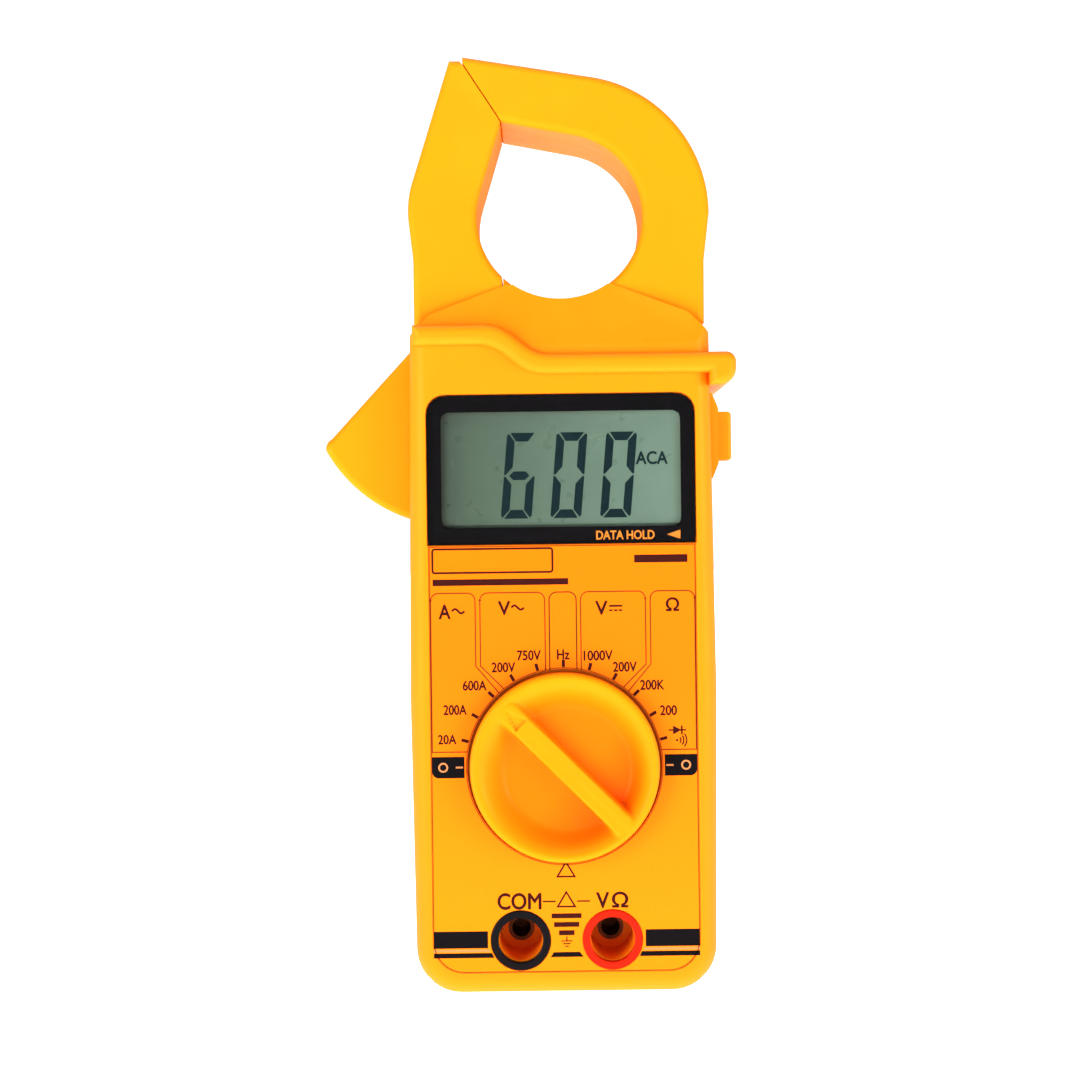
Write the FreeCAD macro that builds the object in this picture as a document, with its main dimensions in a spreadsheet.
"""Hand-held clamp meter: case, hinged transformer jaws, rotary switch, display and battery bay.

The meter stands upright. X runs to the right, the front panel faces -Y and +Z runs from the bottom
end to the jaw tips. The origin is the middle of the bottom end, on the parting plane of the case.
Lengths are millimetres. Every size sits in the sheet, and every feature is bound to it.
"""

import FreeCAD, Part
import math
import os
import re
import Sketcher

doc = FreeCAD.newDocument("ClampMeter")

# Driving sizes first; those that start with "=" follow from the ones above them.
SIZES = {
    # case
    "body_half_width": "31.9",
    "foot_half_width": "31.1",
    "widest_height": "61.6",
    "shoulder_height": "136.6",
    "shoulder_in": "0.8",
    "hood_crest": "147.2",
    "hood_crest_half": "11",
    "hood_knee_x": "26.8",
    "hood_knee_height": "141",
    "hood_foot": "137.9",
    "half_depth": "18",
    "wall": "2.2",
    "corner_radius": "9.5",
    "front_edge_radius": "3.6",
    "back_edge_radius": "6",
    "hood_depth": "13.9",
    "hood_floor": "125.1",
    "inner_face": "=half_depth - wall",
    "inner_half_width": "=foot_half_width - wall",
    # finger guard across the front and the back
    "guard_proud": "2.6",
    "guard_width": "4.2",
    "guard_left": "-30.4",
    "guard_left_height": "136.4",
    "guard_right_height": "130.2",
    "guard_bend_left": "-14",
    "guard_bend_right": "-6.2",
    "guard_bend_radius": "9",
    "guard_round": "1.7",
    "guard_right": "36.4",
    "guard_tab_bottom": "125.5",
    # jaws
    "window_x": "0.4",
    "window_z": "161.4",
    "window_radius": "17.3",
    "lobe_angle": "121",
    "lobe_half_angle": "42.1",
    "jaw_half_width": "31.7",
    "jaw_tip": "195.1",
    "flank_lean": "17.6",
    "flank_length": "26.6",
    "flank_back": "6.3",
    "shoulder_round": "20",
    "jaw_half_depth": "13.5",
    "jaw_edge_radius": "1.5",
    "jaw_gap": "0.3",
    "split_x": "-11.65",
    "mouth_slope": "57",
    "mouth_foot": "98",
    "core_inner": "=window_radius + 3.3",
    "core_outer": "=core_inner + 5.6",
    "core_half_depth": "6.6",
    "winding_inner": "=core_inner - 1.3",
    "winding_outer": "=core_outer + 1.5",
    "winding_half_depth": "8.2",
    "winding_angle": "80",
    "bobbin_play": "0.1",
    "bobbin_wall": "0.6",
    "winding_play": "0.05",
    "lead_channel_depth": "8",
    "pocket_play": "0.25",
    # hinge of the moving jaw
    "pivot_x": "-21.9",
    "pivot_z": "128.6",
    "pivot_radius": "2",
    "pivot_play": "0.05",
    "pivot_half_length": "14.8",
    "hub_radius": "8.8",
    "hub_half_depth": "10.8",
    "trigger_radius": "31.6",
    "trigger_half_depth": "8",
    "trigger_slot": "8.6",
    "spring_pocket_radius": "7",
    "spring_pocket_half": "3.4",
    "spring_wire": "0.45",
    "spring_mean_radius": "3.4",
    "spring_turns": "4",
    "spring_pitch": "1.15",
    # circuit board
    "board_front": "11",
    "board_thickness": "1.6",
    "board_half_width": "27",
    "board_bottom": "20.1",
    "board_top": "118.1",
    "board_back": "=board_front - board_thickness",
    "post_x": "24.2",
    "post_low_z": "22.4",
    "post_high_z": "76.6",
    "post_radius": "2.6",
    "chip_z": "85.6",
    "chip_half": "6",
    "parts_z": "81.1",
    "trimmer_z": "109.6",
    "lead_radius": "0.5",
    "lead_gap": "0.15",
    # rotary switch
    "knob_z": "47.1",
    "knob_radius": "19.5",
    "knob_hole": "20.15",
    "knob_proud": "4.6",
    "knob_rim": "1.7",
    "knob_floor_radius": "14.2",
    "knob_floor": "17.6",
    "pointer_width": "5.2",
    "pointer_front": "18.1",
    "pointer_tail": "18.9",
    "pointer_angle": "135",
    "detent_count": "24",
    "detent_ring": "23.5",
    "rotor_radius": "21.6",
    "rotor_back": "=board_front + 2",
    "rotor_thickness": "=inner_face - rotor_back - 0.2",
    "ball_radius": "1",
    "ball_groove_half": "1.6",
    "ball_groove_depth": "2.2",
    "ball_depth": "=rotor_back + ball_groove_depth / 2",
    "detent_spring_radius": "0.85",
    "detent_spring_wire": "0.18",
    "detent_spring_pitch": "1.3",
    "detent_spring_turns": "4",
    "wiper_ring": "9",
    # display
    "bezel_half_width": "27.8",
    "bezel_bottom": "93",
    "bezel_top": "124.1",
    "bezel_corner": "4",
    "lens_half_width": "24.9",
    "lens_bottom": "96.5",
    "lens_top": "120.6",
    "lens_thickness": "1.4",
    "glass_half_width": "26",
    "glass_bottom": "94.6",
    "glass_top": "122.6",
    "glass_thickness": "2.4",
    "display_gap": "0.1",
    # label
    "label_half_width": "27.6",
    "label_bottom": "4.6",
    "label_corner": "6.5",
    "label_thickness": "0.3",
    # jacks, 19 mm apart as every 4 mm test lead expects
    "jack_pitch": "19",
    "jack_z": "11.2",
    "jack_cavity": "4.5",
    "jack_tube": "5.7",
    "jack_ring": "6.2",
    "jack_ring_depth": "1.6",
    "jack_floor": "2.5",
    "contact_bore": "2",
    "contact_outer": "2.8",
    "contact_length": "12",
    # fastenings
    "screw_radius": "1.4",
    "screw_pilot": "1.45",
    "screw_head": "2.7",
    "head_height": "1.8",
    "case_post": "3.4",
    "case_screw_x": "24.6",
    "case_screw_low": "8.8",
    "case_screw_high": "128.6",
    "head_sink": "3.2",
    "screw_reach": "16",
    # battery
    "battery_length": "48.5",
    "battery_half_width": "13.25",
    "battery_depth": "17.5",
    "battery_bottom": "27.1",
    "battery_back": "14.8",
    "bay_play": "0.6",
    "bay_wall": "1.4",
    "cover_bottom": "19.1",
    "cover_top": "81.6",
    "cover_half_width": "17",
    "cover_play": "0.25",
    "cover_screw_z": "22.6",
    "cover_recess": "1.1",
    # display hold button
    "button_bottom": "110.1",
    "button_top": "120.5",
    "button_front": "10.4",
    "button_back": "4",
    "button_proud": "36",
    "bump_bottom": "106.4",
    "bump_top": "124.2",
    "bump_slope": "3.2",
    "bump_x": "33.1",
}


def write_sheet():
    """Puts each size in its own row of the sheet, under its own name."""
    table = doc.addObject("Spreadsheet::Sheet", "Sizes")
    for row, (name, content) in enumerate(SIZES.items(), start=1):
        table.set(f"A{row}", name)
        table.set(f"B{row}", content)
        table.setAlias(f"B{row}", name)
    doc.recompute()
    return table


sheet = write_sheet()
holder = doc.addObject("App::FeaturePython", "Holder")


def linked(formula):
    """The formula with each size name pointing at the sheet."""
    def point(match):
        return f"Sizes.{match.group()}" if match.group() in SIZES else match.group()
    return re.sub(r"[a-z_]\w*", point, str(formula))


def value(formula):
    """What the formula comes to with the present sizes."""
    return float(holder.evalExpression(linked(formula)))


# ---- building blocks ----

def new_body(label, x="0", y="0", z="0"):
    """An empty body whose placement follows the sheet."""
    body = doc.addObject("PartDesign::Body", label)
    body.Label = label
    for axis, formula in zip("xyz", (x, y, z)):
        body.setExpression(f"Placement.Base.{axis}", linked(formula))
    return body


def new_sketch(body, plane="XZ", height="0"):
    """A sketch on an origin plane of the body, moved along its normal (the front, for XZ)."""
    origin_plane = next(f for f in body.Origin.OriginFeatures if f.Role == f"{plane}_Plane")
    sketch = body.newObject("Sketcher::SketchObject", "Sketch")
    sketch.AttachmentSupport = (origin_plane, [""])
    sketch.MapMode = "FlatFace"
    sketch.setExpression("AttachmentOffset.Base.z", linked(height))
    return sketch


def pin_point(sketch, curve, end, x, y):
    """Ties one end of a curve to a position given by two formulas."""
    for kind, formula in (("DistanceX", x), ("DistanceY", y)):
        index = sketch.addConstraint(Sketcher.Constraint(kind, -1, 1, curve, end, value(formula)))
        sketch.setExpression(f"Constraints[{index}]", linked(formula))


def bulged_arc(start, finish, radius):
    """The minor arc between two points; a positive radius turns left along the way."""
    chord = finish - start
    middle = (start + finish) / 2
    side = FreeCAD.Vector(-chord.y, chord.x, 0).normalize()
    reach = math.sqrt(max(radius ** 2 - (chord.Length / 2) ** 2, 0))
    outward = side * -math.copysign(abs(radius) - reach, radius)
    return Part.Arc(start, middle + outward, finish)


def add_outline(sketch, corners):
    """A closed outline. A corner is (x, y), or (x, y, radius) when an arc leads to it."""
    spots = [FreeCAD.Vector(value(c[0]), value(c[1]), 0) for c in corners]
    count = len(corners)
    first = sketch.GeometryCount
    ends = []
    for number in range(count):
        start = spots[number]
        finish = spots[(number + 1) % count]
        target = corners[(number + 1) % count]
        if len(target) == 2:
            index = sketch.addGeometry(Part.LineSegment(start, finish), False)
            ends.append((1, 2))
            continue
        radius = value(target[2])
        index = sketch.addGeometry(bulged_arc(start, finish, radius), False)
        ends.append((1, 2) if radius > 0 else (2, 1))
        bound = sketch.addConstraint(Sketcher.Constraint("Radius", index, abs(radius)))
        sketch.setExpression(f"Constraints[{bound}]", linked(f"abs({target[2]})"))
    for number in range(count):
        after = (number + 1) % count
        sketch.addConstraint(Sketcher.Constraint("Coincident", first + number, ends[number][1],
                                                 first + after, ends[after][0]))
    for number, corner in enumerate(corners):
        pin_point(sketch, first + number, ends[number][0], corner[0], corner[1])


def add_circle(sketch, x, y, radius):
    """A circle with its centre and radius bound to formulas."""
    centre = FreeCAD.Vector(value(x), value(y), 0)
    index = sketch.addGeometry(Part.Circle(centre, FreeCAD.Vector(0, 0, 1), value(radius)), False)
    pin_point(sketch, index, 3, x, y)
    bound = sketch.addConstraint(Sketcher.Constraint("Radius", index, value(radius)))
    sketch.setExpression(f"Constraints[{bound}]", linked(radius))


def box_corners(left, bottom, right, top):
    """The four corners of an upright rectangle."""
    return [(left, bottom), (right, bottom), (right, top), (left, top)]


def round_box(half, bottom, top, low="", high=""):
    """A rectangle centred on x = 0, with its lower or upper corners rounded when radii are given."""
    if low:
        corners = [(f"({low}) - ({half})", bottom, low), (f"({half}) - ({low})", bottom),
                   (half, f"{bottom} + {low}", low)]
    else:
        corners = [(f"-({half})", bottom), (half, bottom)]
    if high:
        corners += [(half, f"{top} - ({high})"), (f"({half}) - ({high})", top, high),
                    (f"({high}) - ({half})", top), (f"-({half})", f"{top} - ({high})", high)]
    else:
        corners += [(half, top), (f"-({half})", top)]
    if low:
        corners.append((f"-({half})", f"{bottom} + {low}"))
    return corners


def drawn(body, outlines=(), circles=(), plane="XZ", height="0"):
    """A sketch holding the given closed outlines and circles."""
    sketch = new_sketch(body, plane, height)
    for corners in outlines:
        add_outline(sketch, corners)
    for circle in circles:
        add_circle(sketch, *circle)
    return sketch


def grow(body, sketch, length, back=False):
    """Adds material from the sketch along its normal, or against it."""
    feature = body.newObject("PartDesign::Pad", "Pad")
    feature.Profile = sketch
    feature.setExpression("Length", linked(length))
    feature.Reversed = back
    doc.recompute()
    return feature


def cut(body, sketch, length=None, back=False):
    """Removes material along the sketch's normal or against it; with no length, right through."""
    before = body.Tip.Shape.Volume
    feature = body.newObject("PartDesign::Pocket", "Pocket")
    feature.Profile = sketch
    feature.Reversed = not back
    if length is None:
        feature.Type = "ThroughAll"
        feature.Midplane = True
    else:
        feature.setExpression("Length", linked(length))
    doc.recompute()
    if not feature.Shape.Volume < before - 1e-6:
        raise ValueError(f"{body.Label}: a pocket cuts nothing")
    return feature


def turned(body, sketch, kind="PartDesign::Revolution", axis="V_Axis", angle="360"):
    """Revolves or grooves the sketch about one of its own axes."""
    feature = body.newObject(kind, "Turned")
    feature.Profile = sketch
    feature.ReferenceAxis = (sketch, [axis])
    feature.setExpression("Angle", linked(angle))
    doc.recompute()
    return feature


def soften(body, radius, picked, kind="Fillet"):
    """Rounds (or chamfers) the edges of the latest feature that the test picks."""
    base = body.Tip
    names = [f"Edge{n}" for n, edge in enumerate(base.Shape.Edges, start=1) if picked(edge)]
    if not names:
        raise ValueError(f"{body.Label}: no edge to soften")
    feature = body.newObject(f"PartDesign::{kind}", kind)
    feature.Base = (base, names)
    feature.setExpression("Radius" if kind == "Fillet" else "Size", linked(radius))
    doc.recompute()
    if "Invalid" in feature.State or not feature.Shape.isValid():
        raise ValueError(f"{body.Label}: {kind} of {radius} fails on {len(names)} edges")
    return feature


def curve_of(edge):
    """The edge's curve, or nothing where a surface closes on a point."""
    return None if edge.Degenerated else edge.Curve


def runs_along(edge, axis):
    """A straight edge parallel to the axis, given as "x", "y" or "z"."""
    if not isinstance(curve_of(edge), Part.Line):
        return False
    return abs(getattr(edge.tangentAt(edge.FirstParameter), axis)) > 0.999


def runs_along_y(edge):
    """A straight edge square to the front panel."""
    return runs_along(edge, "y")


def middle_of(edge):
    return edge.valueAt((edge.FirstParameter + edge.LastParameter) / 2)


def lies_at_y(edge, depth):
    """An edge lying wholly in the plane at this depth."""
    places = [vertex.Point for vertex in edge.Vertexes] + [middle_of(edge)]
    return all(abs(place.y - depth) < 1e-4 for place in places)


def grouped(label, members):
    """Several separate solids under one name."""
    group = doc.addObject("Part::Compound", label)
    group.Label = label
    group.Links = members
    return group


def block(name, x0, y0, z0, x1, y1, z1):
    """A plain box between two corners given by formulas."""
    box = doc.addObject("Part::Box", name)
    for axis, low in zip("xyz", (x0, y0, z0)):
        box.setExpression(f"Placement.Base.{axis}", linked(low))
    for side, low, high in zip(("Length", "Width", "Height"), (x0, y0, z0), (x1, y1, z1)):
        box.setExpression(side, linked(f"({high}) - ({low})"))
    return box


def rod(name, radius, x, y, z, length):
    """A cylinder lying along +Y from the given point."""
    bar = doc.addObject("Part::Cylinder", name)
    bar.setExpression("Radius", linked(radius))
    bar.setExpression("Height", linked(length))
    bar.Placement = FreeCAD.Placement(FreeCAD.Vector(0, 0, 0),
                                      FreeCAD.Rotation(FreeCAD.Vector(1, 0, 0), -90))
    for axis, formula in zip("xyz", (x, y, z)):
        bar.setExpression(f"Placement.Base.{axis}", linked(formula))
    return bar


def wire_through(points, radius):
    """A solid round wire along a smooth path through the points."""
    path = Part.BSplineCurve()
    path.interpolate(points)
    line = path.toShape()
    start = line.valueAt(line.FirstParameter)
    disc = Part.Wire(Part.Circle(start, line.tangentAt(line.FirstParameter), radius).toShape())
    return Part.Wire(line).makePipeShell([disc], True, False)


def swept_wire(label, points, radius):
    """A named wire through points that are each given by three formulas."""
    feature = doc.addObject("Part::Feature", label)
    spots = [FreeCAD.Vector(*(value(formula) for formula in point)) for point in points]
    feature.Shape = wire_through(spots, value(radius))
    return feature


# ---- shared outlines ----

def case_outline(inset="0", top=None):
    """The case seen from the front, drawn in by the inset; a lower, level top when one is given."""
    foot = f"foot_half_width - ({inset})"
    widest = f"body_half_width - ({inset})"
    corners = [(f"-({foot})", inset), (foot, inset), (widest, "widest_height")]
    if top:
        return corners + [(widest, top), (f"-({widest})", top), (f"-({widest})", "widest_height")]
    return corners + [
        ("body_half_width - shoulder_in", "shoulder_height"), ("hood_knee_x", "hood_knee_height"),
        ("hood_crest_half", "hood_crest"), ("-hood_crest_half", "hood_crest"),
        ("-hood_knee_x", "hood_knee_height"), ("shoulder_in - body_half_width", "shoulder_height"),
        ("-body_half_width", "widest_height")]


def lobe_point(radius, turn):
    """Where the straight side of a teardrop of this radius touches its round part."""
    angle = f"lobe_angle + {turn} * lobe_half_angle"
    return (f"window_x + ({radius}) * cos({angle})", f"window_z + ({radius}) * sin({angle})")


def lobe_tip(radius):
    """The pointed end of the teardrop, at the jaws' mouth."""
    reach = f"({radius}) / cos(lobe_half_angle)"
    return (f"window_x + {reach} * cos(lobe_angle)", f"window_z + {reach} * sin(lobe_angle)")


def teardrop(radius):
    """The rounded, one-cornered outline shared by the window and the cores."""
    bottom = (f"window_x - ({radius}) * cos(lobe_angle)", f"window_z - ({radius}) * sin(lobe_angle)")
    left = lobe_point(radius, 1)
    right = lobe_point(radius, -1)
    quarter = [(*bottom, radius), (*right, radius)]
    return [left, *quarter, lobe_tip(radius)]


def mouth(offset):
    """The line where the jaws meet, moved sideways by the offset: tip end, window end, root end."""
    tip = lobe_tip("window_radius")
    shift = f"split_x + ({offset})"
    return [(f"{tip[0]} - 20 + ({offset})", f"{tip[1]} + 20 * tan(mouth_slope)"),
            (f"{tip[0]} + ({offset})", tip[1]),
            (shift, "window_z - window_radius"),
            (shift, "mouth_foot")]


def left_of_mouth(offset):
    """A region covering everything on the moving side of the mouth."""
    return mouth(offset) + [("-80", "mouth_foot"), ("-80", mouth(offset)[0][1])]


def right_of_mouth(offset):
    """A region covering everything on the fixed side of the mouth."""
    return [("80", mouth(offset)[0][1])] + mouth(offset) + [("80", "mouth_foot")]


# ---- case ----

def half_case(label, sign):
    """The outer shell of one case half; sign is 1 for the front and -1 for the back."""
    front = sign > 0
    body = new_body(label)
    grow(body, drawn(body, [case_outline()]), "half_depth", back=not front)
    face = -sign * value("half_depth")
    soften(body, "corner_radius", lambda e: runs_along_y(e) and middle_of(e).z < 1)
    slope = [(f"{-sign} * (half_depth + 1)", "guard_right_height + 1"),
             (f"{-sign} * hood_depth", "hood_crest"),
             (f"{-sign} * hood_depth", "hood_crest + 9"),
             (f"{-sign} * (half_depth + 1)", "hood_crest + 9")]
    cut(body, drawn(body, [slope], plane="YZ"))
    radius = "front_edge_radius" if front else "back_edge_radius"
    below = value("guard_right_height")
    soften(body, radius, lambda e: lies_at_y(e, face) and middle_of(e).z < below)
    add_guard(body, front)
    cut(body, drawn(body, [case_outline("wall", "hood_floor")]), "inner_face", back=not front)
    hood_room = box_corners("-40", "hood_floor - 1", "inner_half_width", "hood_crest + 9")
    cut(body, drawn(body, [hood_room]), "hood_depth", back=not front)
    cut(body, drawn(body, circles=[("window_x", "window_z", "window_radius")]))
    slot = box_corners("-40", "pivot_z - trigger_radius - 0.8", "-body_half_width / 2", "shoulder_height")
    cut(body, drawn(body, [slot]), "trigger_slot", back=not front)
    return body


def add_guard(body, front):
    """The raised strip that stops fingers sliding up to the jaws, stepping down to the right."""
    half = "guard_width / 2"
    strip = [("guard_left", f"guard_left_height - {half}"),
             ("guard_bend_left", f"guard_left_height - {half}"),
             ("guard_bend_right", f"guard_right_height - {half}"),
             ("body_half_width - 1", f"guard_right_height - {half}"),
             ("body_half_width - 1", "guard_tab_bottom"),
             ("guard_right", "guard_tab_bottom"),
             ("guard_right", f"guard_right_height + {half}"),
             ("guard_bend_right + 1.4", f"guard_right_height + {half}"),
             ("guard_bend_left + 1.4", f"guard_left_height + {half}"),
             ("guard_left", f"guard_left_height + {half}")]
    sketch = drawn(body, [strip])
    grow(body, sketch, "half_depth + guard_proud", back=not front)
    outer = value("half_depth + guard_proud")
    bends = (value("guard_bend_left"), value("guard_bend_right"))

    def upright(edge):
        """An edge of the strip itself, square to the front panel and reaching its outer face."""
        return runs_along_y(edge) and max(abs(vertex.Y) for vertex in edge.Vertexes) > outer - 0.1

    def at_end(edge):
        return upright(edge) and middle_of(edge).x > value("guard_right") - 0.1

    soften(body, "guard_bend_radius",
           lambda e: upright(e) and min(abs(middle_of(e).x - bend) for bend in bends) < 1.5)
    middle_height = value("guard_right_height")
    soften(body, "2", lambda e: at_end(e) and middle_of(e).z > middle_height)
    soften(body, "3.4", lambda e: at_end(e) and middle_of(e).z < middle_height)
    soften(body, "guard_round", lambda e: lies_at_y(e, -outer if front else outer))


def screw_spots(height_low, height_high):
    """The four case screws: two at the foot and two through the root of the fixed jaw."""
    return [("-case_screw_x", height_low), ("case_screw_x", height_low),
            ("0", height_high), ("case_screw_x", height_high)]


def front_case():
    body = half_case("front_case", 1)
    root = "body_half_width - 0.1"
    side = [("bump_x - 4", "bump_bottom"), (root, "bump_bottom"), ("bump_x", "bump_bottom + bump_slope"),
            ("bump_x", "bump_top - bump_slope"), (root, "bump_top"), ("bump_x - 4", "bump_top")]
    grow(body, drawn(body, [side]), "button_front + 2.4")
    soften(body, "3", lambda e: runs_along_y(e) and middle_of(e).x > value("bump_x") - 0.1)
    room = box_corners("bump_x - 6", "button_bottom - 1.3", "bump_x - 3.2", "button_top + 1.3")
    cut(body, drawn(body, [room]), "button_front + 0.6")
    button_way = box_corners("-button_front - 0.1", "button_bottom - 0.1",
                             "0.1 - button_back", "button_top + 0.1")
    cut(body, drawn(body, [button_way], plane="YZ", height="board_half_width"), "20")
    add_front_openings(body)
    add_jack_tubes(body)
    add_front_posts(body)
    return body


def add_front_openings(body):
    """Seats for the display window and the label, and the holes they surround."""
    seat = round_box("bezel_half_width + 0.1", "bezel_bottom - 0.1", "bezel_top + 0.1", high="bezel_corner")
    cut(body, drawn(body, [seat], height="half_depth"), "lens_thickness", back=True)
    view = box_corners("-lens_half_width", "lens_bottom", "lens_half_width", "lens_top")
    cut(body, drawn(body, [view], height="half_depth"), "wall + 1", back=True)
    panel = round_box("label_half_width + 0.1", "label_bottom - 0.1", "bezel_bottom - 0.1",
                      low="label_corner")
    cut(body, drawn(body, [panel], height="half_depth"), "label_thickness", back=True)
    cut(body, drawn(body, circles=[("0", "knob_z", "knob_hole")], height="half_depth"),
        "wall + 1", back=True)
    ring = drawn(body, circles=[("0", "knob_z", "detent_ring"), ("0", "knob_z", "detent_ring + 1.6")],
                 height="inner_face")
    grow(body, ring, "3.4", back=True)
    notch = drawn(body, circles=[("0", "knob_z + detent_ring", "0.55")], height="inner_face - 0.6")
    pocket = cut(body, notch, "4", back=True)
    add_detent_notches(body, pocket)


def add_detent_notches(body, pocket):
    """Repeats the first notch around the ring, one for every click of the switch."""
    centre = body.newObject("PartDesign::Line", "KnobAxis")
    centre.MapMode = "Deactivated"
    centre.Placement = FreeCAD.Placement(FreeCAD.Vector(0, 0, value("knob_z")),
                                         FreeCAD.Rotation(FreeCAD.Vector(1, 0, 0), 90))
    centre.setExpression("Placement.Base.z", linked("knob_z"))
    pattern = body.newObject("PartDesign::PolarPattern", "Clicks")
    pattern.Originals = [pocket]
    pattern.Axis = (centre, [""])
    pattern.Angle = 360
    body.Tip = pattern
    pattern.setExpression("Occurrences", linked("detent_count"))
    doc.recompute()


def jack_spots():
    return [("-jack_pitch / 2", "jack_z"), ("jack_pitch / 2", "jack_z")]


def add_jack_tubes(body):
    """Deep shrouds moulded into the panel, with a floor that holds the contact."""
    tubes = [(x, z, "jack_tube") for x, z in jack_spots()]
    grow(body, drawn(body, circles=tubes, height="jack_floor - 2"), "inner_face - jack_floor + 2.4")
    hollows = [(x, z, "jack_cavity") for x, z in jack_spots()]
    cut(body, drawn(body, circles=hollows, height="half_depth"), "half_depth - jack_floor", back=True)
    rings = [(x, z, "jack_ring") for x, z in jack_spots()]
    cut(body, drawn(body, circles=rings, height="half_depth"), "jack_ring_depth", back=True)
    ends = [(x, z, "contact_outer") for x, z in jack_spots()]
    cut(body, drawn(body, circles=ends, height="half_depth"), "half_depth + 1", back=True)


def add_front_posts(body):
    """Posts for the board screws and the case screws, each with its pilot hole."""
    board = [(x, z, "post_radius") for x in ("-post_x", "post_x") for z in ("post_low_z", "post_high_z")]
    grow(body, drawn(body, circles=board, height="board_front"), "inner_face - board_front + 0.2")
    pilots = [(x, z, "screw_pilot") for x, z, _ in board]
    cut(body, drawn(body, circles=pilots, height="board_front"), "4.2")
    low = screw_spots("case_screw_low", "case_screw_high")[:2]
    posts = [(x, z, "case_post") for x, z in low]
    grow(body, drawn(body, circles=posts), "inner_face + 0.2")
    holes = [(x, z, "screw_pilot") for x, z in screw_spots("case_screw_low", "case_screw_high")]
    cut(body, drawn(body, circles=holes), "screw_reach + 0.4")
    cut(body, drawn(body, circles=[("pivot_x", "pivot_z", "pivot_radius")]), "pivot_half_length")


def rear_case():
    body = half_case("rear_case", -1)
    low = screw_spots("case_screw_low", "case_screw_high")[:2]
    grow(body, drawn(body, circles=[(x, z, "case_post") for x, z in low]), "inner_face + 0.2", back=True)
    spots = screw_spots("case_screw_low", "case_screw_high")
    cut(body, drawn(body, circles=[(x, z, "screw_radius + 0.15") for x, z in spots]),
        "half_depth + 3", back=True)
    heads = [(x, z, "screw_head + 0.3") for x, z in spots]
    cut(body, drawn(body, circles=heads, height="-half_depth + head_sink"), "head_sink + 3", back=True)
    cut(body, drawn(body, circles=[("pivot_x", "pivot_z", "pivot_radius")]), "pivot_half_length",
        back=True)
    add_battery_bay(body)
    return body


def add_battery_bay(body):
    """A walled bay for the battery behind an opening in the back, with a post for its cover."""
    front = "battery_back - battery_depth - bay_play"
    outside = box_corners("-battery_half_width - bay_play - bay_wall", "battery_bottom - bay_play - bay_wall",
                          "battery_half_width + bay_play + bay_wall",
                          "battery_bottom + battery_length + 6 + bay_wall")
    grow(body, drawn(body, [outside], height=f"-({front}) + bay_wall"),
         f"inner_face - ({front}) + bay_wall + 0.2", back=True)
    grow(body, drawn(body, circles=[("0", "cover_screw_z", "case_post")]), "half_depth - 3", back=True)
    opening = box_corners("-cover_half_width", "cover_bottom", "cover_half_width", "cover_top")
    cut(body, drawn(body, [opening], height="-half_depth"), "wall")
    room = box_corners("-battery_half_width - bay_play", "battery_bottom - bay_play",
                       "battery_half_width + bay_play", "battery_bottom + battery_length + 6")
    cut(body, drawn(body, [room], height="-half_depth"), f"half_depth - ({front})")
    cut(body, drawn(body, circles=[("0", "cover_screw_z", "screw_pilot")], height="-half_depth"), "12")
    lead_way = box_corners("5", "battery_bottom + battery_length + 4", "10",
                           "battery_bottom + battery_length + 9")
    cut(body, drawn(body, [lead_way], height=f"-({front}) + bay_wall + 1"), "5", back=True)


def battery_cover():
    body = new_body("battery_cover")
    plate = box_corners("cover_play - cover_half_width", "cover_bottom + cover_play",
                        "cover_half_width - cover_play", "cover_top - cover_play")
    grow(body, drawn(body, [plate], height="-inner_face - 0.05"), "wall - 0.05", back=True)
    soften(body, "0.5", lambda e: lies_at_y(e, value("half_depth")))
    grips = [box_corners("-9", f"cover_top - {drop}", "9", f"cover_top - {drop} + 1.4")
             for drop in (9, 12.5, 16)]
    cut(body, drawn(body, grips, height="-half_depth"), "0.7")
    cut(body, drawn(body, circles=[("0", "cover_screw_z", "screw_radius + 0.15")]), "half_depth + 2",
        back=True)
    cut(body, drawn(body, circles=[("0", "cover_screw_z", "screw_head + 0.2")], height="-half_depth"),
        "cover_recess")
    return body


def screw(name, x, z, head_y, length, head_side=1):
    """A cross-head screw along Y; head_side is 1 when the head faces the back."""
    body = new_body(name, x, head_y, z)
    back = head_side < 0
    grow(body, drawn(body, circles=[("0", "0", "screw_head")]), "head_height", back=not back)
    grow(body, drawn(body, circles=[("0", "0", "screw_radius")]), length, back=back)
    bars = [box_corners("-1.6", "-0.35", "1.6", "0.35"), box_corners("-0.35", "-1.6", "0.35", "1.6")]
    for bar in bars:
        cut(body, drawn(body, [bar], height=f"{-head_side} * head_height"), "head_height / 2", back=back)
    top = head_side * value("head_height")
    soften(body, "0.4", lambda e: lies_at_y(e, top) and isinstance(curve_of(e), Part.Circle))
    return body


def case_screws():
    low, high = "case_screw_low", "case_screw_high"
    return grouped("case_screws", [
        screw(f"case_screw_{n}", x, z, "half_depth - head_sink", "half_depth - head_sink + screw_reach")
        for n, (x, z) in enumerate(screw_spots(low, high), start=1)])


def board_screws():
    return grouped("board_screws", [
        screw(f"board_screw_{n}", x, z, "-board_back", "5")
        for n, (x, z) in enumerate([(x, z) for x in ("-post_x", "post_x")
                                    for z in ("post_low_z", "post_high_z")], start=1)])


def front_label():
    body = new_body("front_label")
    panel = round_box("label_half_width", "label_bottom", "bezel_bottom - 0.2", low="label_corner")
    holes = [("0", "knob_z", "knob_hole + 0.05")] + [(x, z, "jack_ring + 0.1") for x, z in jack_spots()]
    grow(body, drawn(body, [panel], holes, height="half_depth - label_thickness + 0.02"),
         "label_thickness - 0.02")
    return body


# ---- display and electronics ----

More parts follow.
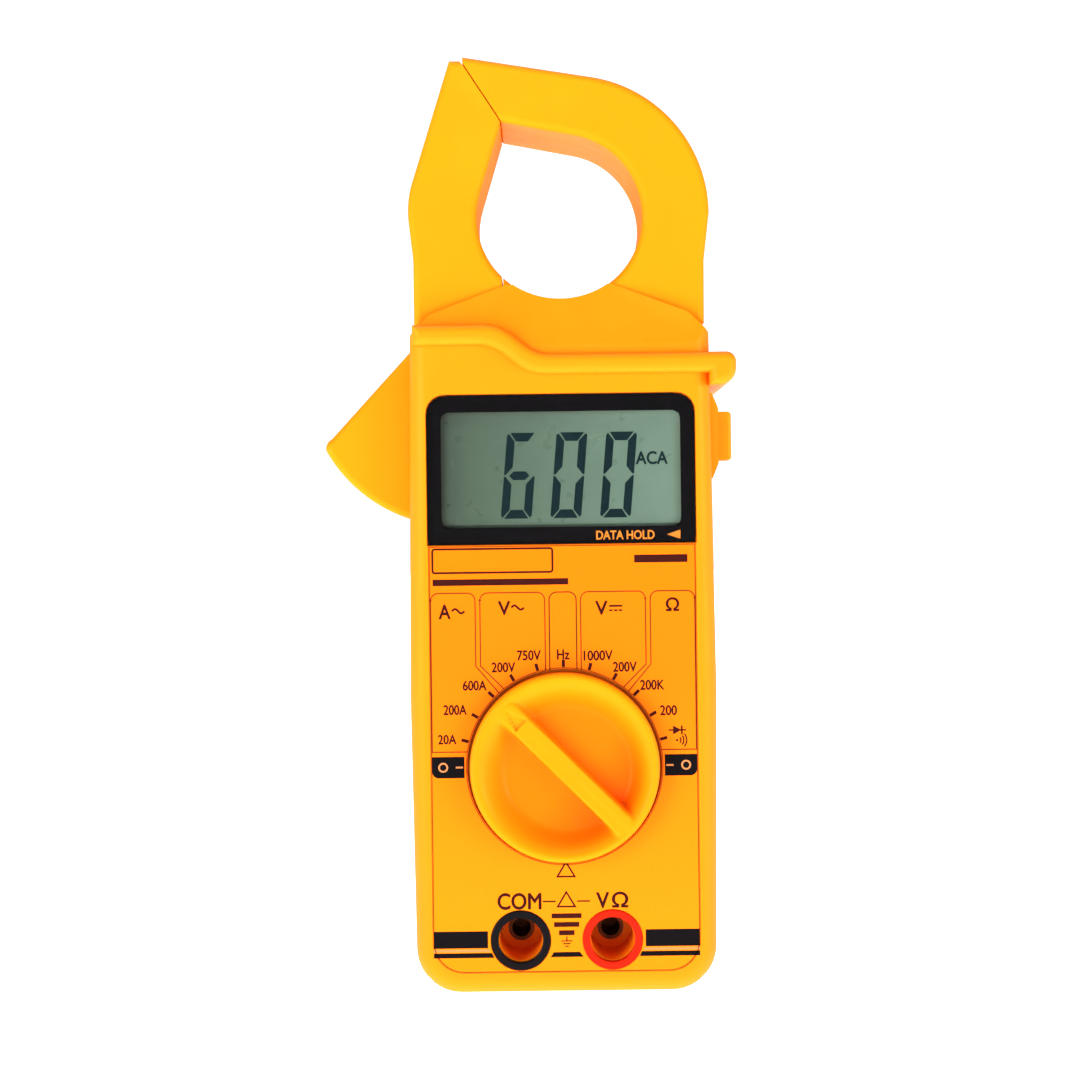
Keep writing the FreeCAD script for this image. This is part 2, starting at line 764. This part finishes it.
def display_window():
    body = new_body("display_window")
    plate = round_box("bezel_half_width", "bezel_bottom", "bezel_top", high="bezel_corner - 0.1")
    grow(body, drawn(body, [plate], height="half_depth - lens_thickness + 0.02"), "lens_thickness - 0.02")
    soften(body, "0.25", lambda e: lies_at_y(e, -value("half_depth")), kind="Chamfer")
    return body


def display_glass():
    body = new_body("display_glass")
    back_sheet = box_corners("-glass_half_width", "glass_bottom", "glass_half_width", "glass_top")
    face = "inner_face - display_gap"
    grow(body, drawn(body, [back_sheet], height=f"{face} - glass_thickness"), "glass_thickness / 2")
    front_sheet = box_corners("-glass_half_width", "glass_bottom + 2.5", "glass_half_width", "glass_top")
    grow(body, drawn(body, [front_sheet], height=f"{face} - glass_thickness / 2"), "glass_thickness / 2")
    return body


def display_frame():
    body = new_body("display_frame")
    rim = box_corners("-glass_half_width - 2", "glass_bottom - 1.6",
                      "glass_half_width + 2", "glass_top + 1.4")
    grow(body, drawn(body, [rim], height="board_front + 0.05"), "inner_face - board_front - 0.15")
    seat = box_corners("-glass_half_width - 0.15", "glass_bottom - 0.15",
                       "glass_half_width + 0.15", "glass_top + 0.15")
    cut(body, drawn(body, [seat], height="half_depth"), "half_depth - board_front - 2.2", back=True)
    way = box_corners("-glass_half_width + 1.5", "glass_bottom + 0.4",
                      "glass_half_width - 1.5", "glass_bottom + 2.8")
    cut(body, drawn(body, [way], height="half_depth"), "half_depth", back=True)
    return body


def contact_strip():
    """The striped rubber strip that joins the glass to the board."""
    return block("contact_strip", "-glass_half_width + 1.8", "-inner_face + display_gap + glass_thickness",
                 "glass_bottom + 0.6", "glass_half_width - 1.8", "-board_front", "glass_bottom + 2.4")


def circuit_board():
    body = new_body("circuit_board")
    edge = [("-board_half_width", "board_bottom"), ("board_half_width", "board_bottom"),
            ("board_half_width", "board_top"), ("-board_half_width + 4", "board_top"),
            ("-board_half_width", "board_top - 4")]
    holes = [(x, z, "screw_radius + 0.2") for x in ("-post_x", "post_x")
             for z in ("post_low_z", "post_high_z")]
    grow(body, drawn(body, [edge], holes + [("0", "knob_z", "3")], height="board_back"), "board_thickness")
    return body


def main_chip():
    body = new_body("main_chip")
    package = box_corners("-chip_half", "chip_z - chip_half", "chip_half", "chip_z + chip_half")
    grow(body, drawn(body, [package], height="board_back"), "1.8", back=True)
    pins = [box_corners("-chip_half - 1.2", f"chip_z - chip_half + {0.9 + 1.5 * n}",
                        "chip_half + 1.2", f"chip_z - chip_half + {1.5 + 1.5 * n}") for n in range(7)]
    grow(body, drawn(body, pins, height="board_back"), "0.5", back=True)
    return body


def board_parts():
    """Small parts on the back of the board: resistors, capacitors and the surge protector."""
    members = []
    for n in range(5):
        members.append(block(f"resistor_{n + 1}", f"{-20 + 2.8 * n}", "-board_back", "parts_z",
                             f"{-18.4 + 2.8 * n}", "1.4 - board_back", "parts_z + 3.2"))
    for n in range(3):
        members.append(rod(f"capacitor_{n + 1}", "2.2", f"{12.5 + 5 * n}", "-board_back",
                           "parts_z + 14.5", "5"))
    members.append(rod("surge_protector", "3.2", "-4", "-board_back", "parts_z + 20.5", "2.6"))
    return grouped("board_parts", members)


def trimmers():
    """Square calibration trimmers with a slotted screw."""
    members = []
    for n, x in enumerate(("-9", "-1")):
        body = new_body(f"trimmer_{n + 1}", x, "-board_back", "trimmer_z")
        grow(body, drawn(body, [box_corners("-3", "-3", "3", "3")]), "2.6", back=True)
        grow(body, drawn(body, circles=[("0", "0", "1.8")]), "3.4", back=True)
        cut(body, drawn(body, [box_corners("-1.9", "-0.3", "1.9", "0.3")], height="-3.4"), "0.6")
        members.append(body)
    return grouped("trimmers", members)


def buzzer():
    body = new_body("buzzer", "16", "-board_back", "chip_z")
    grow(body, drawn(body, circles=[("0", "0", "6")]), "4.5", back=True)
    cut(body, drawn(body, circles=[("0", "0", "1")], height="-4.5"), "1.5")
    return body


def hold_switch():
    """The small push switch behind the hold button, its plunger facing the side wall."""
    body = new_body("hold_switch", "board_half_width", "-board_back", "(button_bottom + button_top) / 2")
    grow(body, drawn(body, [box_corners("-6.2", "-3", "-0.6", "3")]), "4.4", back=True)
    plunger = drawn(body, circles=[("2.3", "0", "1.2")], plane="YZ", height="-1")
    grow(body, plunger, "1.3")
    return body


def hold_button():
    body = new_body("hold_button")
    flange = box_corners("-button_front - 0.4", "button_bottom - 1", "0.8 - button_back", "button_top + 1")
    grow(body, drawn(body, [flange], plane="YZ", height="board_half_width + 1.7"), "1.1")
    cap = box_corners("-button_front + 0.1", "button_bottom + 0.1", "-button_back - 0.1", "button_top - 0.1")
    grow(body, drawn(body, [cap], plane="YZ", height="board_half_width + 2"),
         "button_proud - board_half_width - 2")
    soften(body, "0.8", lambda e: all(abs(v.X - value("button_proud")) < 1e-4 for v in e.Vertexes))
    return body


# ---- rotary switch ----

def knob():
    """The switch knob: a dished disc with a raised pointer bar across it."""
    body = new_body("knob", z="knob_z")
    top = "half_depth + knob_proud"
    profile = [("0", "-inner_face - 0.1"), ("knob_radius", "-inner_face - 0.1"),
               ("knob_radius", f"1.2 - ({top})"),
               ("knob_radius - knob_rim / 2", f"-({top})"),
               ("knob_radius - knob_rim", f"-({top})"),
               ("knob_floor_radius", "-knob_floor", "6.5"),
               ("0", "-knob_floor")]
    turned(body, drawn(body, [profile], plane="XY"))
    turn = "cos(pointer_angle)"
    rise = "sin(pointer_angle)"

    def across(along, side):
        """A point given along the pointer and to its side."""
        return (f"({along}) * {turn} - ({side}) * {rise}", f"({along}) * {rise} + ({side}) * {turn}")

    half = "pointer_width / 2"
    front, tail = "pointer_front", "-pointer_tail"
    outline = [(*across(f"{tail} + {half}", f"-{half}"), half), across(f"{front} - {half}", f"-{half}"),
               (*across(front, "0"), half), (*across(f"{front} - {half}", half), half),
               across(f"{tail} + {half}", half), (*across(tail, "0"), half)]
    grow(body, drawn(body, [outline], height="knob_floor - 0.5"), f"{top} - knob_floor + 0.5")
    arrow = [across("knob_radius - 6.9", "-1.5"), across("knob_radius - 2.6", "0"),
             across("knob_radius - 6.9", "1.5")]
    cut(body, drawn(body, [arrow], height=top), "0.8", back=True)
    return body


def switch_rotor():
    """The disc behind the panel that the knob clips into, with a groove for each sprung ball."""
    body = new_body("switch_rotor", z="knob_z")
    grow(body, drawn(body, circles=[("0", "0", "rotor_radius")], height="rotor_back"), "rotor_thickness")
    grow(body, drawn(body, circles=[("0", "0", "2.8")], height="board_front - 2.2"), "4.4")
    reach = ("rotor_radius - 6", "rotor_radius + 1")
    grooves = [box_corners(reach[0], "-ball_groove_half", reach[1], "ball_groove_half"),
               box_corners(f"-({reach[1]})", "-ball_groove_half", f"-({reach[0]})", "ball_groove_half")]
    cut(body, drawn(body, grooves, height="rotor_back"), "ball_groove_depth")
    return body


def detent_balls():
    """Two balls that click into the notches around the knob's hole."""
    members = []
    for n, side in enumerate(("-1", "1"), start=1):
        ball = doc.addObject("Part::Sphere", f"detent_ball_{n}")
        ball.setExpression("Radius", linked("ball_radius"))
        ball.setExpression("Placement.Base.x", linked(f"{side} * (detent_ring - ball_radius - 0.05)"))
        ball.setExpression("Placement.Base.y", linked("-ball_depth"))
        ball.setExpression("Placement.Base.z", linked("knob_z"))
        members.append(ball)
    return grouped("detent_balls", members)


def detent_springs():
    """Short coil springs that push the balls outwards."""
    pitch = value("detent_spring_pitch")
    radius = value("detent_spring_radius")
    coil = Part.makeHelix(pitch, pitch * value("detent_spring_turns"), radius)
    disc = Part.Circle(FreeCAD.Vector(radius, 0, 0), FreeCAD.Vector(0, 1, 0), value("detent_spring_wire"))
    solid = Part.Wire(coil).makePipeShell([Part.Wire(disc.toShape())], True, True)
    members = []
    for n, side in enumerate((-1, 1), start=1):
        feature = doc.addObject("Part::Feature", f"detent_spring_{n}")
        feature.Shape = solid
        start = FreeCAD.Vector(side * value("rotor_radius - 5.4"), -value("ball_depth"), value("knob_z"))
        feature.Placement = FreeCAD.Placement(start, FreeCAD.Rotation(FreeCAD.Vector(0, 1, 0), 90 * side))
        members.append(feature)
    return grouped("detent_springs", members)


def wiper_contacts():
    """Bent copper fingers on the rotor that bridge the pads of the board."""
    members = []
    for n in range(6):
        angle = 30 + 60 * n
        body = new_body(f"wiper_{n + 1}", f"wiper_ring * cos({angle})", "0",
                        f"knob_z + wiper_ring * sin({angle})")
        arch = [("-3", "-board_front - 2"), ("-3", "-board_front - 1.6"), ("-1", "-board_front - 0.2"),
                ("1", "-board_front - 0.2"), ("3", "-board_front - 1.6"), ("3", "-board_front - 2"),
                ("0.7", "-board_front - 0.5"), ("-0.7", "-board_front - 0.5")]
        grow(body, drawn(body, [arch], plane="XY", height="-0.6"), "1.2")
        members.append(body)
    return grouped("wiper_contacts", members)


# ---- jacks ----

def jack_ring(label, x):
    body = new_body(label, x, "0", "jack_z")
    ring = drawn(body, circles=[("0", "0", "jack_ring - 0.02"), ("0", "0", "jack_cavity + 0.1")],
                 height="half_depth - jack_ring_depth")
    grow(body, ring, "jack_ring_depth + 0.2")
    soften(body, "0.25", lambda e: lies_at_y(e, -value("half_depth + 0.2")))
    return body


def jack_contact(label, x):
    """A brass tube that takes a 4 mm plug, closed at the back by its solder lug."""
    body = new_body(label, x, "0", "jack_z")
    grow(body, drawn(body, circles=[("0", "0", "contact_outer - 0.03")], height="jack_floor - 0.02"),
         "contact_length", back=True)
    cut(body, drawn(body, circles=[("0", "0", "contact_bore")], height="jack_floor"),
        "contact_length - 1", back=True)
    lug = box_corners("-1.5", "0", "1.5", "10.5")
    grow(body, drawn(body, [lug], height="jack_floor - contact_length"), "0.8", back=True)
    return body


# ---- battery ----

def battery():
    body = new_body("battery", z="battery_bottom")
    can = box_corners("-battery_half_width", "0", "battery_half_width", "battery_length - 2.5")
    grow(body, drawn(body, [can], height="-battery_back + battery_depth"), "battery_depth", back=True)
    soften(body, "2.4", lambda e: runs_along(e, "z"))
    middle = "battery_back - battery_depth / 2"
    studs = [("-6.35", middle, "2.7"), ("6.35", middle, "4")]
    grow(body, drawn(body, circles=studs, plane="XY", height="battery_length - 2.7"), "2.7")
    return body


def battery_snap():
    body = new_body("battery_snap", z="battery_bottom + battery_length")
    middle = "battery_back - battery_depth / 2"
    plate = box_corners("-12.5", f"{middle} - 6.2", "12.5", f"{middle} + 6.2")
    grow(body, drawn(body, [plate], plane="XY", height="0.1"), "3")
    soften(body, "2", lambda e: runs_along(e, "z"))
    return body


def battery_lead(label, shift):
    """A wire from the snap through the bay wall, ending square on the back of the board."""
    middle = "battery_back - battery_depth / 2"
    top = "battery_bottom + battery_length"
    return swept_wire(label, [
        (f"6.5 + {shift}", f"{middle} - 5.6", f"{top} + 3.7"),
        (f"6.8 + {shift}", "-3.6", f"{top} + 5.3"),
        (f"7.5 + {shift}", "-6", f"{top} + 7.4"),
        (f"7.85 + {shift}", "-board_back + 1.2", f"{top} + 9"),
        (f"7.85 + {shift}", "-board_back + lead_gap", f"{top} + 9")], "lead_radius")


def battery_pad():
    """A foam strip on the cover that stops the battery rattling."""
    return block("battery_pad", "-8", "battery_back + 0.05", "battery_bottom + 8",
                 "8", "inner_face", "battery_bottom + 40")


def jack_leads():
    """Wires from the jack lugs to the board."""
    members = []
    for n, side in enumerate(("-1", "1"), start=1):
        x = f"{side} * jack_pitch / 2"
        members.append(swept_wire(f"jack_lead_{n}", [
            (x, "contact_length - jack_floor - 0.6", "jack_z + 9.6"),
            (x, "contact_length - jack_floor - 4", "jack_z + 10.6"),
            (x, "-4", "jack_z + 11.2"),
            (x, "-board_back + 1.2", "jack_z + 11.6"),
            (x, "-board_back + lead_gap", "jack_z + 11.6")], "lead_radius"))
    return grouped("jack_leads", members)


# ---- jaws ----

def fixed_outline():
    """The outer edge of the fixed jaw, from its flat tip round the back to its root."""
    edge = "split_x + jaw_gap / 2"
    root = "hood_floor - 0.9"
    return [("-19.5", "jaw_tip"), ("-19.5", "jaw_tip - 4.4"), ("split_x - 1", "window_z + 18.9"),
            (edge, "window_z - 14"), (edge, root), ("inner_half_width - 0.3", root),
            ("inner_half_width - 0.3", "hood_foot + 1"), ("jaw_half_width - 1.3", "hood_foot + 1"),
            ("jaw_half_width - 1.2", "window_z - 9.4"), ("jaw_half_width", "window_z + 0.6"),
            ("7.2", "jaw_tip - 4.4", "29.1")]


def moving_outline():
    """The outer edge of the moving jaw: a leaning flank, a round shoulder, then down to its hub."""
    edge = "split_x - jaw_gap / 2"
    centre_x = "shoulder_round - jaw_half_width + 0.4"
    centre_z = "window_z + 1.5"
    lean_end = (f"{centre_x} - shoulder_round * cos(flank_lean)",
                f"{centre_z} + shoulder_round * sin(flank_lean)")
    lean_start = (f"{lean_end[0]} + flank_length * sin(flank_lean)",
                  f"{lean_end[1]} + flank_length * cos(flank_lean)")
    back_start = (f"{centre_x} - shoulder_round * cos(flank_back)",
                  f"{centre_z} - shoulder_round * sin(flank_back)")
    back_end = (f"{back_start[0]} + 8 * sin(flank_back)", f"{back_start[1]} - 8 * cos(flank_back)")
    return [lean_start, lean_end, (*back_start, "shoulder_round"), back_end,
            (back_end[0], "hood_foot - 0.3"), (f"{back_end[0]} + 2.5", "hood_foot - 2.8"),
            ("pivot_x - hub_radius", "pivot_z"), ("pivot_x", "pivot_z - hub_radius", "hub_radius"),
            ("pivot_x + hub_radius", "pivot_z", "hub_radius"), (edge, "pivot_z + 3"),
            (edge, "window_z - 14"), ("-10", "window_z + 17"), ("-14", lean_start[1])]


def jaw_shell(label, front, fixed):
    """One moulded half of a jaw, hollowed for its core and winding."""
    body = new_body(label)
    back = not front
    face = -value("jaw_half_depth") if front else value("jaw_half_depth")
    outline = fixed_outline() if fixed else moving_outline()
    grow(body, drawn(body, [outline]), "jaw_half_depth", back=back)
    cut(body, drawn(body, [teardrop("window_radius")]))
    region = left_of_mouth("jaw_gap / 2") if fixed else right_of_mouth("-jaw_gap / 2")
    cut(body, drawn(body, [region]))
    if not fixed:
        soften(body, "18", lambda e: runs_along_y(e) and middle_of(e).x < value("pivot_x - 8")
               and value("window_z - 14") < middle_of(e).z < value("window_z - 4"))
    soften(body, "jaw_edge_radius", lambda e: lies_at_y(e, face)
           and middle_of(e).z > value("hood_foot") and not on_mouth(e))
    if not fixed:
        low_end = box_corners("-80", "mouth_foot", "split_x", "pivot_z + 2")
        side = "-" if back else ""
        cut(body, drawn(body, [low_end], height=f"{side}hub_half_depth"), "jaw_half_depth", back=back)
        add_trigger(body, back)
    cut(body, drawn(body, [teardrop("core_outer + pocket_play"), teardrop("core_inner - pocket_play")]),
        "core_half_depth + pocket_play", back=back)
    if fixed:
        cut_winding_room(body, back)
        if front:
            cut_lead_channel(body)
        holes = [("0", "case_screw_high", "screw_radius + 0.3"),
                 ("case_screw_x", "case_screw_high", "screw_radius + 0.3")]
        cut(body, drawn(body, circles=holes))
    else:
        cut(body, drawn(body, circles=[("pivot_x", "pivot_z", "pivot_radius + pivot_play")]))
        cut(body, drawn(body, circles=[("pivot_x", "pivot_z", "spring_pocket_radius")]),
            "spring_pocket_half", back=back)
        way = [("pivot_x", "pivot_z + 2"), ("pivot_x", "pivot_z - 6.5"), ("-8", "pivot_z - 12"),
               ("-8", "pivot_z + 2")]
        cut(body, drawn(body, [way]), "spring_pocket_half", back=back)
    return body


def on_mouth(edge):
    """Whether the edge lies along the line where the jaws meet, or on their hidden roots."""
    place = middle_of(edge)
    tip = FreeCAD.Vector(*(value(f) for f in lobe_tip("window_radius")), 0)
    slope = math.tan(math.radians(value("mouth_slope")))
    at_split = abs(place.x - value("split_x")) < 0.5 and place.z < value("window_z")
    return at_split or abs((place.z - tip.y) + (place.x - tip.x) * slope) < 1.4


def cut_winding_room(body, back):
    """Extra room around the core of the fixed jaw where the winding sits."""
    half = "winding_angle / 2 + 3"
    outer = "winding_outer + 0.3"
    inner = "winding_inner - 0.3"

    def spot(radius, sign):
        return (f"window_x + ({radius}) * cos({half})", f"window_z + {sign} * ({radius}) * sin({half})")

    room = [spot(outer, -1), (*spot(outer, 1), outer), spot(inner, 1), (*spot(inner, -1), f"-({inner})")]
    cut(body, drawn(body, [room]), "winding_half_depth + 0.2", back=back)


def cut_lead_channel(body):
    """A sloping groove in the root of the fixed jaw that takes the winding's wires to the board."""
    low = "hood_floor - 2.5"
    high = "window_z - 16"
    way = [("13.6", low), ("17.4", low), ("20.8", high), ("16.4", high)]
    cut(body, drawn(body, [way]), "lead_channel_depth")


def add_trigger(body, back):
    """The finger lever that opens the jaw: a straight top edge and a round lower edge."""
    reach = "trigger_radius"
    lever = [("-29.4", "pivot_z + 7.7"), ("-48.3", "pivot_z - 12.8"),
             (f"pivot_x + {reach} * cos(209)", f"pivot_z + {reach} * sin(209)", "2.3"),
             (f"pivot_x + {reach} * cos(259)", f"pivot_z + {reach} * sin(259)", reach),
             ("pivot_x + hub_radius * cos(290)", "pivot_z + hub_radius * sin(290)"),
             ("pivot_x", "pivot_z + hub_radius / 2")]
    grow(body, drawn(body, [lever]), "trigger_half_depth", back=back)
    edge_y = value("trigger_half_depth") * (1 if back else -1)
    soften(body, "1.5", lambda e: lies_at_y(e, edge_y) and middle_of(e).x < value("pivot_x") - 12)


def core(label, fixed):
    """A C-shaped stack of steel laminations with bare faces at the mouth."""
    body = new_body(label)
    ring = [teardrop("core_outer"), teardrop("core_inner")]
    grow(body, drawn(body, ring, height="-core_half_depth"), "2 * core_half_depth")
    region = left_of_mouth("0.06") if fixed else right_of_mouth("-0.06")
    cut(body, drawn(body, [region]))
    return body


def ring_sector(label, outline, hollow):
    """Part of a ring around the window's centre on the fixed side, with a hollow for the core."""
    body = new_body(label, "window_x", "0", "window_z")
    sketch = drawn(body, [box_corners(*outline), box_corners(*hollow)], plane="XY")
    sector = turned(body, sketch, angle="winding_angle")
    sector.Midplane = True
    doc.recompute()
    return body


def around_core(gap):
    """The cross-section of the core, enlarged by a gap on all sides: inner, lower, outer, upper."""
    return (f"core_inner - ({gap})", f"-core_half_depth - ({gap})",
            f"core_outer + ({gap})", f"core_half_depth + ({gap})")


def coil_bobbin():
    return ring_sector("coil_bobbin", around_core("bobbin_play + bobbin_wall"), around_core("bobbin_play"))


def coil_winding():
    outline = ("winding_inner", "-winding_half_depth", "winding_outer", "winding_half_depth")
    return ring_sector("coil_winding", outline, around_core("bobbin_play + bobbin_wall + winding_play"))


def pivot_pin():
    body = new_body("pivot_pin", "pivot_x", "0", "pivot_z")
    grow(body, drawn(body, circles=[("0", "0", "pivot_radius")], height="-pivot_half_length + 0.05"),
         "2 * pivot_half_length - 0.1")
    soften(body, "0.4", lambda e: isinstance(curve_of(e), Part.Circle), kind="Chamfer")
    return body


STEPS_PER_TURN = 12


def jaw_spring():
    """A torsion spring round the pivot pin; its tail leans on the root of the fixed jaw."""
    radius = value("spring_mean_radius")
    length = value("spring_turns * spring_pitch")
    steps = int(value("spring_turns")) * STEPS_PER_TURN
    points = [FreeCAD.Vector(radius, -8.6, 0), FreeCAD.Vector(radius, -4.3, 0)]
    for step in range(steps + 1):
        angle = 2 * math.pi * step / STEPS_PER_TURN
        rise = length * step / steps
        points.append(FreeCAD.Vector(radius * math.cos(angle), radius * math.sin(angle), rise))
    points.append(FreeCAD.Vector(radius, 2.6, length))
    feature = doc.addObject("Part::Feature", "jaw_spring")
    feature.Shape = wire_through(points, value("spring_wire"))
    feature.Placement = FreeCAD.Placement(
        FreeCAD.Vector(value("pivot_x"), -length / 2, value("pivot_z")),
        FreeCAD.Rotation(FreeCAD.Vector(0, 1, 0), 65) * FreeCAD.Rotation(FreeCAD.Vector(1, 0, 0), -90))
    return feature


def coil_leads():
    """The pair of wires from the end of the winding, through the jaw's root, down to the board."""
    in_front = "-(core_half_depth + 0.75)"
    members = []
    for n, shift in enumerate(("0", "1.4"), start=1):
        members.append(swept_wire(f"coil_lead_{n}", [
            (f"18.2 + {shift}", in_front, "window_z - 16.8"), (f"17.2 + {shift}", in_front, "window_z - 22"),
            (f"16 + {shift}", in_front, "window_z - 30"), (f"14.8 + {shift}", "-6.4", "hood_floor - 1.5"),
            (f"14.9 + {shift}", "-6.2", "hood_floor - 7.5"),
            (f"15.4 + {shift}", "-board_back + 1.2", "board_top - 4.5"),
            (f"15.4 + {shift}", "-board_back + lead_gap", "board_top - 4.5")], "0.45"))
    return grouped("coil_leads", members)


def build_all():
    half = "jack_pitch / 2"
    parts = [
        front_case(), rear_case(), battery_cover(), case_screws(), board_screws(), front_label(),
        display_window(), display_glass(), display_frame(), contact_strip(), circuit_board(), main_chip(),
        board_parts(), trimmers(), buzzer(), hold_switch(), hold_button(),
        knob(), switch_rotor(), detent_balls(), detent_springs(), wiper_contacts(),
        jack_ring("common_jack_ring", f"-{half}"), jack_ring("volt_jack_ring", half),
        jack_contact("common_jack_contact", f"-{half}"), jack_contact("volt_jack_contact", half),
        jack_leads(),
        battery(), battery_snap(), battery_lead("battery_lead_red", "0"),
        battery_lead("battery_lead_black", "1.6"), battery_pad(),
        screw("battery_cover_screw", "0", "cover_screw_z", "half_depth - cover_recess", "9"),
        jaw_shell("fixed_jaw_front", True, True), jaw_shell("fixed_jaw_rear", False, True),
        jaw_shell("moving_jaw_front", True, False), jaw_shell("moving_jaw_rear", False, False),
        core("fixed_core", True), core("moving_core", False),
        coil_bobbin(), coil_winding(), coil_leads(), pivot_pin(), jaw_spring(),
    ]
    doc.recompute()
    return parts


def check_and_export(parts):
    """Stops on any broken feature, then writes one STEP file for each sub-part."""
    for item in doc.Objects:
        if "Invalid" in item.State or "Error" in item.State:
            raise ValueError(f"{item.Name} ({item.Label}) is {item.State}")
    os.makedirs("parts", exist_ok=True)
    for part in parts:
        shape = part.Shape
        if shape.isNull() or not shape.isValid() or not shape.Solids:
            raise ValueError(f"{part.Label}: no valid solid")
        shape.exportStep(f"parts/{part.Label}.step")


check_and_export(build_all())
